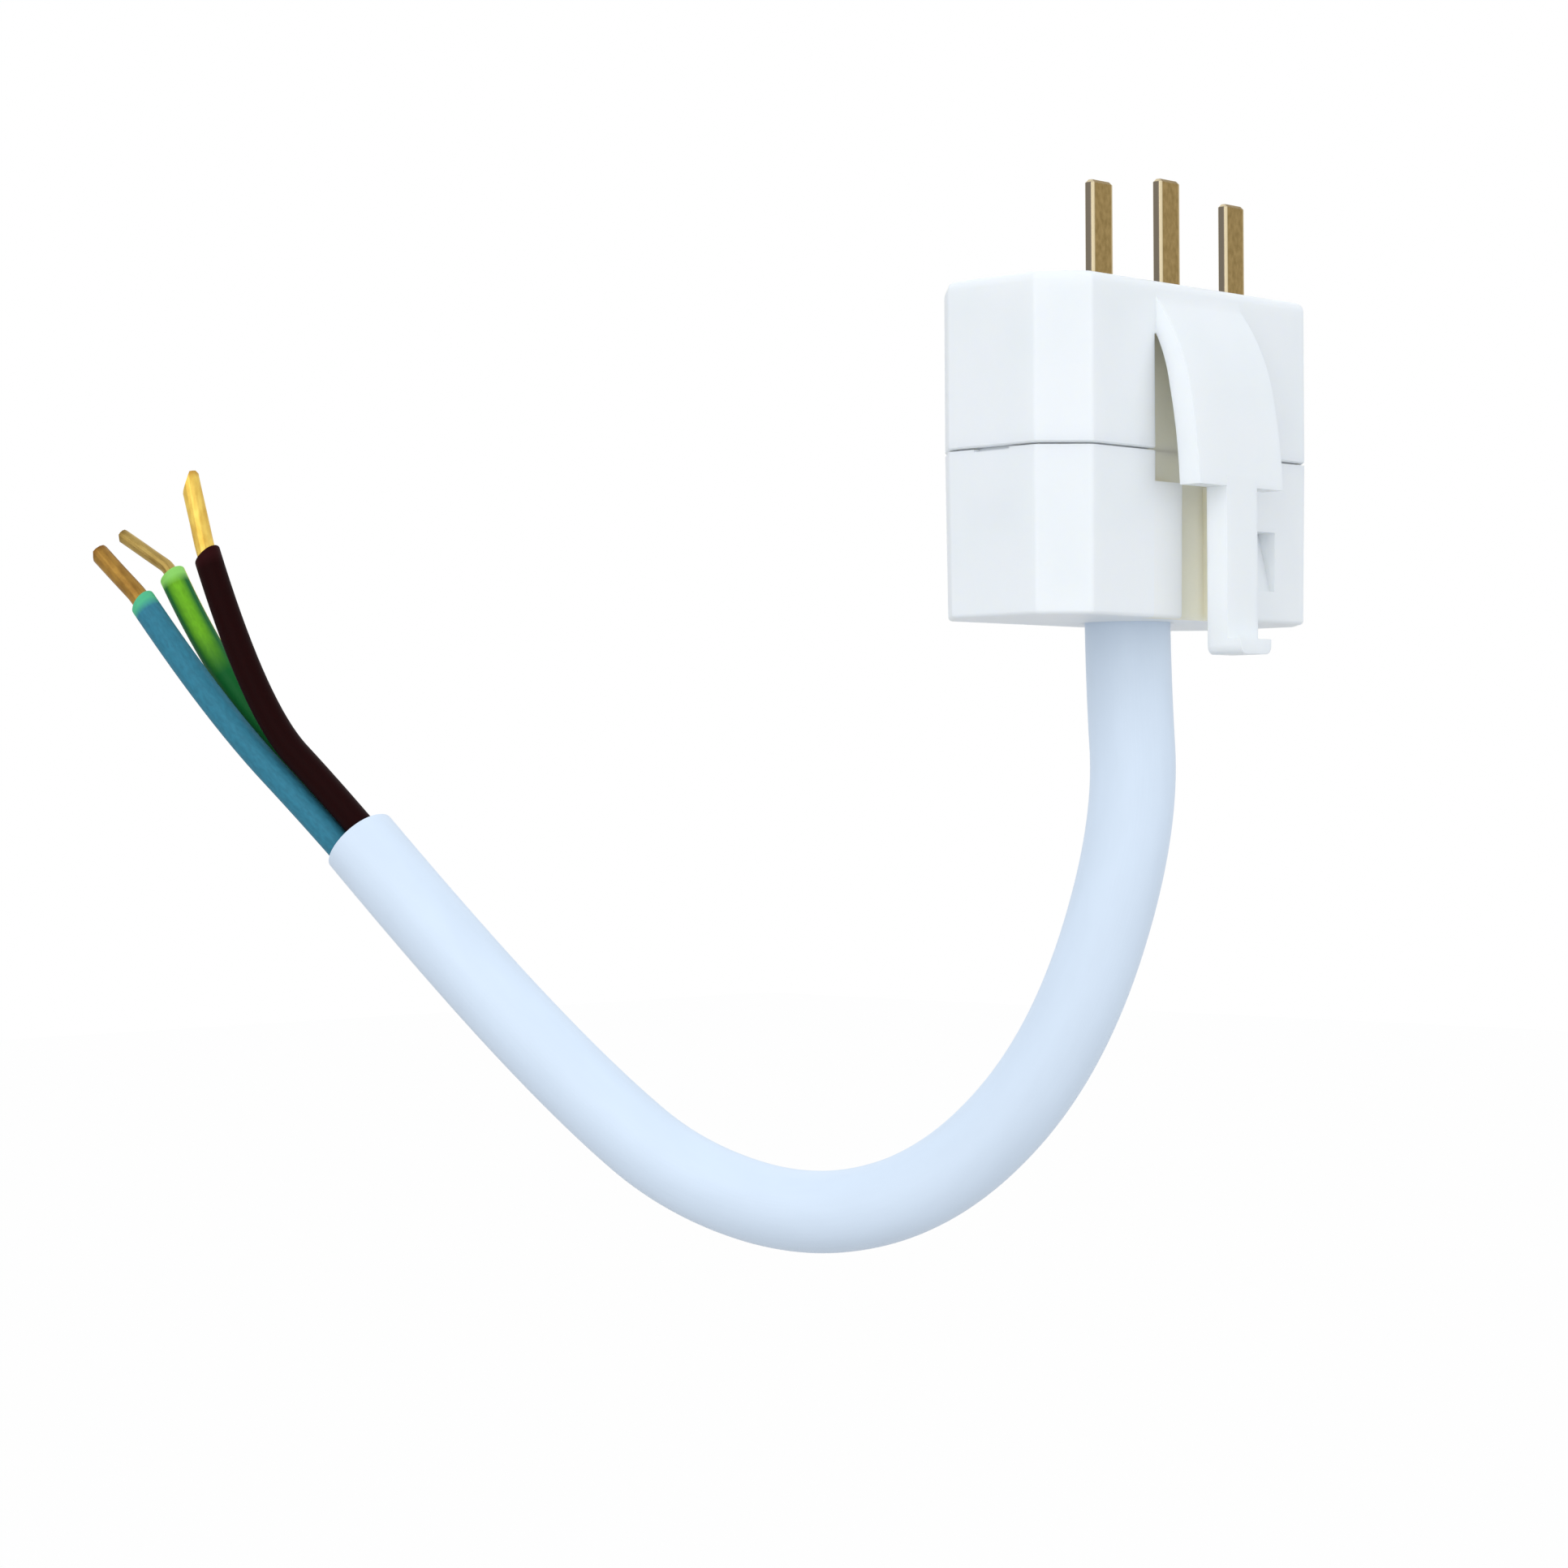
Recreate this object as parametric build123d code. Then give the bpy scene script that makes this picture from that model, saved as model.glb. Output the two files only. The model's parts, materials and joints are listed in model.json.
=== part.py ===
from build123d import *
from math import cos, pi, radians, sin, tan
import os

# Ceiling light plug: three flat blades on a two-part white housing with a latch tongue on its
# front, and a short round cable whose three cores are stripped at the free end.
# Millimetres. Z is up along the blades and X runs along their row. The latch faces -Y.
# The origin is the root of the middle blade on the face that meets the ceiling socket.

# Housing
body_length = 39.45
body_x = -0.35
body_depth = 17.75
body_height = 31.0
front_y = -4.35
corner = 3.7
seam_z = -15.5
draft = 0.7
edge_round = 0.9
bottom_round = 0.4
corner_round = 0.5
seam_break = 0.15
seam_gap = 0.2
seam_depth = 0.9
wall = 2.0
roof = 2.0
front_wall_y = -1.4

# Blades
blade_pitch = 10.0
blade_width = 3.1
blade_thick = 1.0
blade_round = 0.3
side_reach = 9.2
earth_reach = 10.45
blade_seat = 5.0
blade_tail = 2.6

# Terminals
side_wire_x = 6.6
wire_before_cable = 2.0
wire_to_back = 2.6
terminal_height = 6.0
terminal_cheek = 2.1
earth_terminal_width = 5.4
wire_bore_top = 8.3
conductor = 2.1
earth_conductor = 1.5
bore_clearance = 0.1
terminal_screw = 2.5
terminal_head = 4.0
terminal_head_height = 1.5
terminal_screw_z = -9.7
screw_slot_width = 0.6
screw_slot_depth = 0.7
carrier_wall = 1.2
carrier_rise = 2.0
terminal_room = 0.8

# Latch tongue on the front face
latch_x = -0.9
tongue_width = 12.6
arm_width = 4.6
latch_clearance = 0.2
tongue_top_z = -1.7
gap_top_z = -4.95
tongue_bottom_z = -19.0
recess_above_foot = 0.5
arm_drop = 3.4
lip_height = 1.4
lip_reach = 1.5
tongue_reach = 4.95
tongue_thick = 2.3
root_blend = 2.0
shoulder_z = -9.8
shoulder_reach = 3.85
shoulder_bow = 0.53
underside_bow = 0.21
plate_bow = 0.19
recess_depth = 1.5
arm_corner = 0.8

# Ramped pocket beside the arm
pocket_left = 6.6
pocket_right = 10.9
pocket_height = 5.6
pocket_sill = 3.0
pocket_deep = 2.0
pocket_shallow = 0.7

# Snap hooks and the notches that free them
hook_width = 4.0
hook_thick = 1.4
hook_clearance = 0.1
window_clearance = 0.2
hook_bottom_z = -22.0
barb_height = 1.6
barb_reach = 0.8
notch_width = 4.2
notch_height = 0.42
notch_depth = 0.8

# Cable and its grip
cable_behind_middle = 0.475
cable_diameter = 8.1
cable_bore = 6.9
core_diameter = 3.0
core_spacing = 1.82
grip_width = 19.0
grip_height = 5.5
grip_gap = 0.3
sheath_above_grip = 0.5
clamp_height = 3.2
clamp_depth = 2.5
clamp_arch = 1.4
clamp_screw = 2.2
clamp_screw_edge = 1.9
clamp_screw_gap = 0.4
clamp_hole_floor = 0.6
clamp_head = 3.4
clamp_head_height = 1.4
clamp_corner = 1.0
outlet_round = 0.6

back_y = front_y + body_depth
middle_y = (front_y + back_y) / 2
cable_y = middle_y + cable_behind_middle
wire_y = cable_y - wire_before_cable
terminal_back = wire_y + wire_to_back
bottom_z = -body_height
arm_bottom_z = bottom_z - arm_drop
pocket_bottom_z = bottom_z + pocket_sill
pocket_top_z = pocket_bottom_z + pocket_height
grip_top_z = bottom_z + grip_height
cable_top_z = grip_top_z + sheath_above_grip

# The cable hangs in one upright plane, turned this much from +Y towards -X.
heading = 18.0
along = Vector(-sin(radians(heading)), cos(radians(heading)), 0)
across = Vector(cos(radians(heading)), sin(radians(heading)), 0)

# Route of the cable in that plane: distance from the outlet, then height.
route = [
    (0.0, cable_top_z),
    (0.0, -51.6),
    (6.5, -71.5),
    (18.3, -84.7),
    (32.4, -89.3),
    (47.3, -86.2),
    (58.9, -77.9),
    (74.5, -63.6),
    (86.3, -51.6),
]
# The cores make a quarter turn about each other on the way, in equal steps from point to point.
lay_start = -90.0
lay_step = 15.0

# Free ends: distance, height and offset across the plane, then the bare tip.
core_angle = {"earth": 0.0, "live": 120.0, "neutral": 240.0}
core_tail = {
    "live": [(88.2, -47.4, -0.9), (98.6, -37.6, -1.3), (104.4, -20.9, -1.6)],
    "neutral": [(89.0, -51.2, -0.9), (103.8, -37.5, -1.3), (113.0, -25.7, -1.5)],
    "earth": [(90.0, -47.8, 1.8), (105.2, -34.7, 2.2), (111.8, -22.6, 2.3)],
}
core_tip = {
    "live": (106.7, -12.0, -1.7),
    "neutral": (118.8, -20.1, -1.6),
    "earth": (118.6, -18.1, 2.2),
}
core_x = {"live": side_wire_x, "neutral": -side_wire_x, "earth": 0.0}
blade_x = {"live": blade_pitch, "neutral": -blade_pitch, "earth": 0.0}
blade_reach = {"live": side_reach, "neutral": side_reach, "earth": earth_reach}
wire_size = {"live": conductor, "neutral": conductor, "earth": earth_conductor}

bend_top_z = -14.9
bend_bottom_z = -22.0
inner_bend = 3.1 * core_diameter
strip_gap = 0.3
bare_start = 1.6

half = body_length / 2
cover_height = seam_z - bottom_z
recess_y = front_y + recess_depth
tongue_outer_y = front_y - tongue_reach
tongue_inner_y = tongue_outer_y + tongue_thick
shoulder_y = front_y - shoulder_reach
terminal_bottom_z = -blade_seat - terminal_height
clamp_screw_x = grip_width / 2 - clamp_screw_edge


def place(distance, height, offset=0.0):
    """A point of the cable's plane, moved sideways by offset."""
    spot = along * distance + across * offset
    return Vector(spot.X, cable_y + spot.Y, height)


def plan(z, inset=0.0):
    """The housing's outline: a rectangle with its four corners cut, at height z."""
    base = Plane.XY.offset(z) * Pos(body_x, middle_y) * Rectangle(body_length, body_depth)
    cut = chamfer(base.vertices(), corner)
    return offset(cut, -inset, kind=Kind.INTERSECTION) if inset else cut


def end_x(side, inset):
    """Where a face lies that is so far inside the left (-1) or right (1) end of the housing."""
    return body_x + side * (half - inset)


def box(x0, x1, y0, y1, z0, z1):
    """A box between two values on each axis."""
    size = (abs(x1 - x0), abs(y1 - y0), abs(z1 - z0))
    return Pos((x0 + x1) / 2, (y0 + y1) / 2, (z0 + z1) / 2) * Box(*size)


def rod(start, direction, diameter, length):
    """A round rod from a point along a direction."""
    return extrude(Plane(origin=start, z_dir=direction) * Circle(diameter / 2), amount=length)


def bend_radii(points):
    """The radius at each inner point: 0.45 of the shorter run over the tangent of half the turn."""
    radii = []
    for before, here, after in zip(points, points[1:], points[2:]):
        into, out = here - before, after - here
        turn = into.get_angle(out)
        radii.append(0.45 * min(into.length, out.length) / tan(radians(turn / 2)))
    return radii


def tube(points, radii, diameter, bore=0.0):
    """A round tube or rod along straight runs joined by tangent arcs."""
    path = FilletPolyline(*points, radius=radii) if len(points) > 2 else Line(*points)
    section = Circle(diameter / 2)
    if bore:
        section -= Circle(bore / 2)
    return sweep(Plane(origin=path @ 0, z_dir=path % 0) * section, path=path), path


def tongue():
    """The latch tongue: a plate that leaves the front face in a curve, and its arm and lip."""
    outside = [
        SagittaArc((front_y, tongue_top_z), (shoulder_y, shoulder_z), -shoulder_bow),
        SagittaArc((shoulder_y, shoulder_z), (tongue_outer_y, tongue_bottom_z), -plate_bow),
    ]
    foot = Line((tongue_outer_y, tongue_bottom_z), (tongue_inner_y, tongue_bottom_z))
    under_y = shoulder_y + tongue_thick
    inside = [
        SagittaArc((tongue_inner_y, tongue_bottom_z), (under_y, shoulder_z), plate_bow),
        SagittaArc((under_y, shoulder_z), (front_y, gap_top_z), underside_bow),
    ]
    root_y = front_y + wall / 2
    root = Polyline((front_y, gap_top_z), (root_y, gap_top_z), (root_y, tongue_top_z),
                    (front_y, tongue_top_z))
    side = make_face(outside + [foot] + inside + [root])
    plate = extrude(Plane.YZ.offset(latch_x - tongue_width / 2) * side, amount=tongue_width)
    left, right = latch_x - arm_width / 2, latch_x + arm_width / 2
    arm = box(left, right, tongue_outer_y, tongue_inner_y, tongue_bottom_z + 1, arm_bottom_z)
    lip = box(left, right, tongue_outer_y - lip_reach, tongue_outer_y,
              arm_bottom_z + lip_height, arm_bottom_z)
    arm += lip
    low = arm.edges().filter_by(Axis.Y).group_by(Axis.Z)[0]
    return plate + fillet(low, arm_corner)


def latch_recess(low_z):
    """The hollow behind the tongue, wide behind the plate and narrow behind the arm."""
    wide = tongue_width / 2 + latch_clearance
    narrow = arm_width / 2 + latch_clearance
    step_z = tongue_bottom_z + recess_above_foot
    hollow = box(latch_x - wide, latch_x + wide, front_y - 1, recess_y,
                 gap_top_z, max(low_z, step_z))
    if low_z < step_z:
        hollow += box(latch_x - narrow, latch_x + narrow, front_y - 1, recess_y,
                      gap_top_z, low_z - 1)
    return hollow


def blade_body(name, top_z, bottom_z):
    """A flat blade with rounded corners between two heights."""
    section = Pos(blade_x[name], 0) * RectangleRounded(blade_width, blade_thick, blade_round)
    return extrude(Plane.XY.offset(bottom_z) * section, amount=top_z - bottom_z)


def blade(name):
    """A contact blade, its tip eased all round."""
    body = blade_body(name, blade_reach[name], -blade_seat - blade_tail)
    return chamfer(body.faces().sort_by(Axis.Z)[-1].edges(), blade_round)


def terminal_sides(name):
    """The left and right sides of a terminal block."""
    if name == "earth":
        return -earth_terminal_width / 2, earth_terminal_width / 2
    side = 1 if core_x[name] > 0 else -1
    near = side * (side_wire_x - terminal_cheek)
    far = side * (blade_pitch + terminal_cheek)
    return min(near, far), max(near, far)


def terminal_pocket(name, top_z, low_z):
    """The block's outline between two heights."""
    left, right = terminal_sides(name)
    return box(left, right, front_wall_y, terminal_back, top_z, low_z)


def terminal(name):
    """A brass block that joins a blade to a conductor, with a screw from the back."""
    block = terminal_pocket(name, -blade_seat, terminal_bottom_z)
    block -= blade_body(name, -blade_seat, -blade_seat - blade_tail)
    bore = wire_size[name] + 2 * bore_clearance
    block -= rod((core_x[name], wire_y, -wire_bore_top), (0, 0, -1), bore, terminal_height)
    block -= rod((core_x[name], terminal_back, terminal_screw_z), (0, -1, 0), terminal_screw,
                 terminal_back - wire_y)
    return block


def screw_slot(x, top_y, z, head):
    """The driver's slot across a screw head that faces the back."""
    return box(x - head, x + head, top_y - screw_slot_depth, top_y + 1,
               z - screw_slot_width / 2, z + screw_slot_width / 2)


def terminal_screw_solid(name):
    """A slotted screw that presses the conductor in its block."""
    x, z = core_x[name], terminal_screw_z
    reach = terminal_back - wire_y - wire_size[name] / 2
    screw = rod((x, terminal_back, z), (0, -1, 0), terminal_screw, reach)
    screw += rod((x, terminal_back, z), (0, 1, 0), terminal_head, terminal_head_height)
    return screw - screw_slot(x, terminal_back + terminal_head_height, z, terminal_head)


def pin_side_shell():
    """The upper half: roof, blade carrier, terminal pockets, latch tongue and two snap hooks."""
    shell = extrude(plan(0), amount=seam_z)
    shell = fillet(shell.edges().filter_by(Axis.Z), corner_round)
    shell = fillet(shell.faces().sort_by(Axis.Z)[-1].edges(), edge_round)
    shell = chamfer(shell.faces().sort_by(Axis.Z)[0].edges(), seam_break)
    inside = extrude(plan(-roof, wall), amount=seam_z + roof - 1)
    inside &= box(-half, half, front_wall_y, back_y, 0, seam_z - 1)
    room_x = blade_pitch + terminal_cheek
    carrier_x = room_x + carrier_wall
    shell -= inside - box(-carrier_x, carrier_x, front_y, back_y, 0, seam_z - carrier_rise)
    shell -= box(-room_x, room_x, terminal_back, back_y - wall, -blade_seat, seam_z - 1)
    for name in blade_x:
        shell -= terminal_pocket(name, -blade_seat, seam_z - 1)
        shell -= blade_body(name, 1, -blade_seat)
    shell -= box(-room_x, room_x, front_wall_y, terminal_back,
                 terminal_bottom_z - terminal_room, seam_z - 1)
    shell -= latch_recess(seam_z - 1)
    near, far = middle_y - hook_width / 2, middle_y + hook_width / 2
    barb = make_face(Polyline((end_x(1, wall + hook_thick / 2), hook_bottom_z),
                              (end_x(1, wall + hook_clearance), hook_bottom_z),
                              (end_x(1, wall + hook_clearance - barb_reach),
                               hook_bottom_z + barb_height),
                              (end_x(1, wall + hook_thick / 2), hook_bottom_z + barb_height),
                              close=True))
    barb = extrude(Plane.XZ.offset(-far) * barb, amount=hook_width)
    for side in (-1, 1):
        hook = box(end_x(side, wall + hook_thick), end_x(side, wall + hook_clearance),
                   near, far, -roof, hook_bottom_z)
        rib = box(end_x(side, wall + hook_thick), end_x(side, wall / 2), near, far, -roof, seam_z)
        shell += hook + rib + (barb if side > 0 else mirror(barb, Plane.YZ.offset(body_x)))
    shell += tongue()
    root = shell.edges().filter_by(Axis.X).sort_by_distance((latch_x, front_y, tongue_top_z))[0]
    return fillet(root, root_blend)


def cable_side_cover():
    """The lower half: a cup with the arm's channel, the cable outlet and the grip block."""
    cover = extrude(plan(seam_z), amount=-cover_height, taper=draft)
    upright = [e for e in cover.edges() if e.bounding_box().size.Z > cover_height / 2]
    cover = fillet(upright, corner_round)
    cover = fillet(cover.faces().sort_by(Axis.Z)[0].edges(), bottom_round)
    cover = chamfer(cover.faces().sort_by(Axis.Z)[-1].edges(), seam_break)
    cover -= extrude(plan(seam_z) - plan(seam_z, seam_depth), amount=-seam_gap)
    inside = extrude(plan(seam_z + 1, wall), amount=-(cover_height - wall + 1))
    inside &= box(-half, half, front_wall_y, back_y, seam_z + 1, bottom_z)
    grip = box(-grip_width / 2, grip_width / 2, front_wall_y, cable_y - grip_gap / 2,
               grip_top_z, bottom_z)
    cover -= inside - grip
    cover -= rod((0, cable_y, seam_z), (0, 0, -1), cable_diameter, cover_height + 1)
    outlet = cover.edges().filter_by(GeomType.CIRCLE)
    outlet = [e for e in outlet if abs(e.center().Z - bottom_z) < 0.01 and e.radius > 3]
    cover = fillet(outlet, outlet_round)
    for side in (-1, 1):
        cover -= rod((side * clamp_screw_x, cable_y, grip_top_z - clamp_height / 2),
                     (0, -1, 0), clamp_screw, cable_y - front_wall_y - clamp_hole_floor)
        window = hook_width / 2 + window_clearance
        cover -= box(end_x(side, wall + 1), end_x(side, wall - barb_reach - hook_clearance),
                     middle_y - window, middle_y + window, hook_bottom_z - window_clearance,
                     hook_bottom_z + barb_height + hook_clearance)
        cover -= box(end_x(side, notch_depth), end_x(side, -1),
                     middle_y - notch_width / 2, middle_y + notch_width / 2,
                     seam_z + 1, seam_z - notch_height)
    cover -= latch_recess(bottom_z)
    ramp = make_face(Polyline((front_y - 1, pocket_top_z), (front_y + pocket_deep, pocket_top_z),
                              (front_y + pocket_shallow, pocket_bottom_z),
                              (front_y - 1, pocket_bottom_z), close=True))
    return cover - extrude(Plane.YZ.offset(pocket_left) * ramp, amount=pocket_right - pocket_left)


def cord_clamp_bar():
    """The bar that presses the sheath into the grip block."""
    low = cable_y + grip_gap / 2
    bar = box(-grip_width / 2, grip_width / 2, low, low + clamp_depth,
              grip_top_z, grip_top_z - clamp_height)
    bar = fillet(bar.edges().filter_by(Axis.Z).group_by(Axis.Y)[-1], clamp_corner)
    arch = rod((0, cable_y, grip_top_z), (0, 0, -1), cable_diameter + 2 * clamp_arch, clamp_height)
    bar += arch & box(-half, half, low, back_y, grip_top_z, grip_top_z - clamp_height)
    bar -= rod((0, cable_y, seam_z), (0, 0, -1), cable_diameter, cover_height)
    for side in (-1, 1):
        bar -= rod((side * clamp_screw_x, cable_y, grip_top_z - clamp_height / 2), (0, 1, 0),
                   clamp_screw + 2 * bore_clearance, 2 * clamp_depth)
    return bar


def clamp_screws():
    """Two slotted screws that draw the clamp bar down."""
    top = cable_y + grip_gap / 2 + clamp_depth
    screws = []
    for side in (-1, 1):
        x, z = side * clamp_screw_x, grip_top_z - clamp_height / 2
        reach = top - front_wall_y - clamp_hole_floor - clamp_screw_gap
        screw = rod((x, top, z), (0, -1, 0), clamp_screw, reach)
        screw += rod((x, top, z), (0, 1, 0), clamp_head, clamp_head_height)
        screws.append(screw - screw_slot(x, top + clamp_head_height, z, clamp_head))
    return Compound(screws)


def core_points(name):
    """A core's route: down from its terminal, along the cable inside the sheath, then free."""
    points = [Vector(core_x[name], wire_y, terminal_bottom_z - strip_gap),
              Vector(core_x[name], wire_y, bend_top_z)]
    radii = [inner_bend, inner_bend]
    middle = [place(*p) for p in route]
    sheath_radii = bend_radii(middle)
    for i in range(1, len(middle) - 1):
        angle = radians(core_angle[name] + lay_start + lay_step * (i - 1))
        into = (middle[i] - middle[i - 1]).normalized()
        out = (middle[i + 1] - middle[i]).normalized()
        half_turn = radians(into.get_angle(out) / 2)
        inward = (out - into).normalized()
        spot = across * (core_spacing * cos(angle))
        spot += inward * (core_spacing * sin(angle) / cos(half_turn))
        points.append(middle[i] + spot)
        radii.append(sheath_radii[i - 1] - core_spacing * sin(angle))
    first = points[2]
    points.insert(2, Vector(first.X, first.Y, bend_bottom_z))
    tail = [place(*p) for p in core_tail[name]]
    radii += bend_radii(points[-1:] + tail)
    return points + tail, radii


def conductor_solids(name):
    """The two bare ends of a core's conductor: one in its terminal, one at the free end."""
    size = wire_size[name]
    start = Vector(core_x[name], wire_y, terminal_bottom_z - strip_gap)
    inner = rod(start, (0, 0, 1), size, -wire_bore_top - start.Z - bore_clearance)
    tail = [place(*p) for p in core_tail[name]]
    end = tail[-1]
    heading_out = (tail[-1] - tail[-2]).normalized()
    points = [end, end + heading_out * bare_start, place(*core_tip[name])]
    outer, _ = tube(points, bend_radii(points), size)
    return Compound([inner, outer])


def main():
    parts = {"pin_side_shell": pin_side_shell(), "cable_side_cover": cable_side_cover()}
    for name in blade_x:
        parts[name + "_blade"] = blade(name)
        parts[name + "_terminal"] = terminal(name)
        parts[name + "_terminal_screw"] = terminal_screw_solid(name)
    parts["cord_clamp_bar"] = cord_clamp_bar()
    parts["clamp_screws"] = clamp_screws()
    points = [place(*p) for p in route]
    radii = bend_radii(points)
    print("cable_sheath radii", [round(r, 1) for r in radii])
    sheath, path = tube(points, radii, cable_diameter, cable_bore)
    parts["cable_sheath"] = sheath
    section = pi * (cable_diameter ** 2 - cable_bore ** 2) / 4
    print("cable length", round(path.length, 1), "volume ratio",
          round(sheath.volume / (section * path.length), 4))
    colours = {"live": "brown", "neutral": "blue", "earth": "green_yellow"}
    for name in blade_x:
        points, radii = core_points(name)
        print(colours[name], "core radii", [round(r, 1) for r in radii])
        core, path = tube(points, radii, core_diameter)
        section = pi * core_diameter ** 2 / 4
        print("length", round(path.length, 1), "volume ratio",
              round(core.volume / (section * path.length), 4))
        parts[colours[name] + "_core"] = core
        parts[name + "_conductor"] = conductor_solids(name)
    os.makedirs("parts", exist_ok=True)
    for name, solid in parts.items():
        export_step(solid, "parts/" + name + ".step")


if __name__ == "__main__":
    main()
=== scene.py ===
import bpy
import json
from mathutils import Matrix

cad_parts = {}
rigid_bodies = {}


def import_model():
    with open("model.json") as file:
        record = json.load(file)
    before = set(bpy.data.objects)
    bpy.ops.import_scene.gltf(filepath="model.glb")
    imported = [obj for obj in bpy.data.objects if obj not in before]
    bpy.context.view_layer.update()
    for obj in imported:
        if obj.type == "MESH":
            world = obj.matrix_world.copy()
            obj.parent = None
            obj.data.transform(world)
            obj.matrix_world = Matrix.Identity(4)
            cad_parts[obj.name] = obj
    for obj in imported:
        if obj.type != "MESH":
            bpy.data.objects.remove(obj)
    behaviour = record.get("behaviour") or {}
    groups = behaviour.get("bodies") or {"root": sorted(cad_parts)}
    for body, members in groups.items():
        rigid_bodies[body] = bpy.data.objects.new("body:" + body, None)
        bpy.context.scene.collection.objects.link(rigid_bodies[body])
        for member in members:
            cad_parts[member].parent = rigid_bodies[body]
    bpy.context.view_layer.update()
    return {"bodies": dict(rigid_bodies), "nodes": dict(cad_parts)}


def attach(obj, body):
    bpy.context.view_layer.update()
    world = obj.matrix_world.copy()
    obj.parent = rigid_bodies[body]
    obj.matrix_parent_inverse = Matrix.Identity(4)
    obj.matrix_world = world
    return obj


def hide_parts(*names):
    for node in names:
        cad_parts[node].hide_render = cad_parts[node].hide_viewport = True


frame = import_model()

import json
from math import cos, radians, sin

import bmesh
import bpy
from bpy.props import FloatProperty, FloatVectorProperty, IntProperty, PointerProperty
from mathutils import Matrix, Vector

# Ceiling light plug: a two-part white housing with three brass blades and a latch tongue, and a
# short round cable whose three cores are stripped at the free end. Z is up, along the blades.
# The sizes just below are in millimetres where their comments don't say metres. The settings and
# the meshes are in metres.

bl_info = {
    "name": "Ceiling light plug",
    "version": (1, 0, 0),
    "blender": (4, 5, 0),
    "location": "3D View > Sidebar > Plug",
    "description": "Dresses the plug's frame with its cable, cores, bare wires and finishes",
    "category": "Object",
}

MM = 0.001
BODY = next(iter(frame["bodies"]))
COLOURS = {"live": "brown", "neutral": "blue", "earth": "green_yellow"}

# The housing's front face, the middle of the latch, and the latch's recess behind that face.
# The recess's warm tint, a painted shade, is full at the depth of its fade.
FRONT_Y = -4.35
LATCH_X = -0.9
RECESS_HALF_WIDTH = 6.6
RECESS_TOP = -4.9
RECESS_DEPTH = 1.8
RECESS_FADE = 1.0

# The cable hangs in one upright plane through the outlet, 18 degrees from +Y towards -X.
HEADING = radians(18)
ALONG = Vector((-sin(HEADING), cos(HEADING), 0))
ACROSS = Vector((cos(HEADING), sin(HEADING), 0))
CABLE_Y = 5.0

# Route of the cable in that plane: distance from the outlet, then height.
ROUTE = [
    (0.0, -25.0),
    (0.0, -35.0),
    (-0.9, -50.5),
    (6.2, -71.5),
    (18.3, -84.7),
    (32.4, -89.3),
    (47.3, -86.0),
    (58.9, -77.7),
    (74.5, -63.6),
    (86.3, -51.6),
]
# Inside the sheath each core lies this far from the cable's middle, and the three make about a
# quarter turn round each other, by so many degrees from one point of the route to the next.
CORE_SPACING = 1.82
CORE_ANGLE = {"earth": 0.0, "live": 120.0, "neutral": 240.0}
LAY_START = -105.0
LAY_STEP = 15.0
# Each core goes straight down from its terminal, at x and y, and then bends into the cable.
TERMINAL = {"live": (6.6, 3.0), "neutral": (-6.6, 3.0), "earth": (0.0, 3.0)}
CORE_TOP = -11.3
BEND_TOP = -14.9
BEND_BOTTOM = -22.0
# Length of the strands that a terminal holds.
CLAMPED_LENGTH = 2.9

# Free ends: distance, height and offset across the plane, then the bare tip.
TAIL = {
    "live": [(88.2, -47.4, -0.9), (98.6, -37.6, -1.3), (104.4, -20.9, -1.6)],
    "neutral": [(89.0, -51.2, -0.9), (103.8, -37.5, -1.3), (113.0, -25.7, -1.5)],
    "earth": [(90.0, -47.8, 1.8), (105.2, -34.7, 2.2), (111.8, -22.6, 2.3)],
}
TIP = {
    "live": (106.7, -12.0, -1.7),
    "neutral": (118.8, -20.1, -1.6),
    "earth": (118.4, -18.1, 2.2),
}
# Length of a wire's bend outside its insulation, and how far inside the wire starts.
BARE_START = 1.6
BARE_INSIDE = 0.3

# Slope of each insulation's cut. Each bare end has two slopes, on its left and its right: where
# the slope starts, as a share of the wire's diameter from its middle, and how steep it is.
CUT_SLOPE = {"live": 0.36, "neutral": 0.23, "earth": 0.16}
CHISEL = {
    "live": ((-0.15, 1.62), (0.35, 1.3)),
    "neutral": ((0.22, 1.1), (0.38, 1.4)),
    "earth": ((0.26, 1.1), (0.34, 1.2)),
}
# The cutters' blades came from this side, and their flat lies this far back from the tip, as a
# share of the wire's diameter.
CUT_SIDE = Vector((-0.7174, 0.6967, 0.0))
TIP_FLAT = 0.06
# Grooves between the strands: their depth as a share of the wire's radius, and their turn in
# radians a metre.
GROOVE = 0.035
STRAND_TWIST = 60
# The hole at the end of a core's insulation: its width as a share of the core's, and its depth.
CORE_HOLE = 0.72
CORE_HOLE_DEPTH = 0.3
# How far a core's cut end wanders, and how much the cut rims are rounded.
CORE_RAGGED = 0.06
CORE_ROUNDING = 0.15
SHEATH_ROUNDING = 0.12

# Sides of the rings, and steps of a rounded rim.
SHEATH_SIDES = 48
CORE_SIDES = 28
CLAMPED_SIDES = 26
SIDES_PER_STRAND = 4
RIM_STEPS = 3

# The earth core's painted highlight, a light band along one side: the way it faces from the
# core's middle, and how far from the cut end it is still full and has gone, shaded off nearer the
# sheath.
LIT_BAND_FACING = (0.85, 0.527, 0.0)
BAND_FULL = 8.0
BAND_GONE = 13.5

# Bright, dull and freshly cut tone of each bare wire. The live one is the cleanest.
COPPER = {
    "live": ("#E9CB68", "#D3AC4E", "#A9742F"),
    "neutral": ("#A8823F", "#8C6832", "#6E4420"),
    "earth": ("#B59C5C", "#9C8247", "#7B6236"),
}
# Typical index of refraction of ABS and of soft PVC.
POLYMER_IOR = 1.53

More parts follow.
